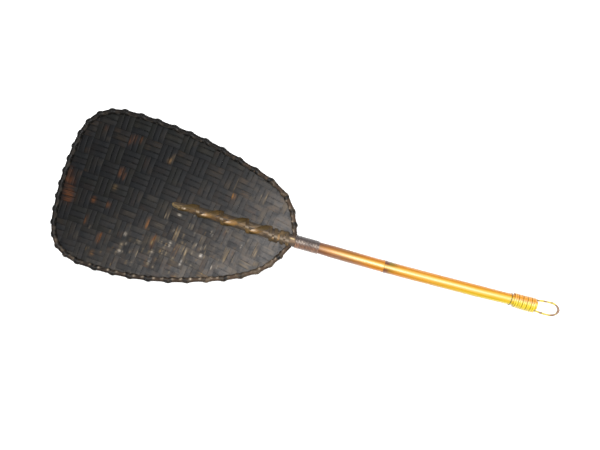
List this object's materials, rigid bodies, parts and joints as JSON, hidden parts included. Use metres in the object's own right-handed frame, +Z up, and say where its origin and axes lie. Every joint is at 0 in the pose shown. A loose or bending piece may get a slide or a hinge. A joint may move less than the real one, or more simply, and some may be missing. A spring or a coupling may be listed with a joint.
{
  "type": "hand fan",
  "caption": "Paddle-shaped hand fan: woven bamboo blade in a lashed rim, on a long round bamboo handle with a hanging loop.",
  "frame": {"origin": "under the middle of the fan's box, at the height of its lowest point, with the fan lying on its back", "axes": "+X along the handle from the blade to the hanging loop, +Y across the blade, +Z up out of the blade's front face"},
  "size_m": [0.399, 0.1272, 0.011],
  "materials": {
    "lacquered_splints": "satin lacquer, near black, worn brown in places",
    "rim_bamboo": "satin lacquer, dark red-brown",
    "rim_cane": "satin lacquer, dark grey-brown",
    "handle_bamboo": "polished bamboo skin, red-brown at the neck to golden at the butt",
    "gold_cane": "satin cane, golden brown",
    "dark_cane": "satin cane, dark brown",
    "neck_thread": "lacquered thread, dark brown",
    "ring_thread": "lacquered thread, black",
    "butt_cane": "satin cane, golden yellow",
    "loop_cane": "satin cane, golden, darker at the tip"
  },
  "bodies": {
    "root": {"butt_ring": "ring_thread", "butt_wrap": "butt_cane", "crosswise_splints_01": "lacquered_splints", "crosswise_splints_02": "lacquered_splints", "crosswise_splints_03": "lacquered_splints", "crosswise_splints_04": "lacquered_splints", "crosswise_splints_05": "lacquered_splints", "crosswise_splints_06": "lacquered_splints", "crosswise_splints_07": "lacquered_splints", "crosswise_splints_08": "lacquered_splints", "crosswise_splints_09": "lacquered_splints", "crosswise_splints_10": "lacquered_splints", "crosswise_splints_11": "lacquered_splints", "crosswise_splints_12": "lacquered_splints", "crosswise_splints_13": "lacquered_splints", "crosswise_splints_14": "lacquered_splints", "handle_rod_with_forked_end": "handle_bamboo", "hanging_loop": "loop_cane", "lengthwise_splints_01": "lacquered_splints", "lengthwise_splints_02": "lacquered_splints", "lengthwise_splints_03": "lacquered_splints", "lengthwise_splints_04": "lacquered_splints", "lengthwise_splints_05": "lacquered_splints", "lengthwise_splints_06": "lacquered_splints", "lengthwise_splints_07": "lacquered_splints", "lengthwise_splints_08": "lacquered_splints", "lengthwise_splints_09": "lacquered_splints", "neck_binding": "neck_thread", "rim_hoop_back": "rim_bamboo", "rim_hoop_front": "rim_bamboo", "rim_lashing_first": "rim_cane", "rim_lashing_second": "rim_cane", "tongue_lashing_dark": "dark_cane", "tongue_lashing_gold": "gold_cane"}
  },
  "joints": []
}
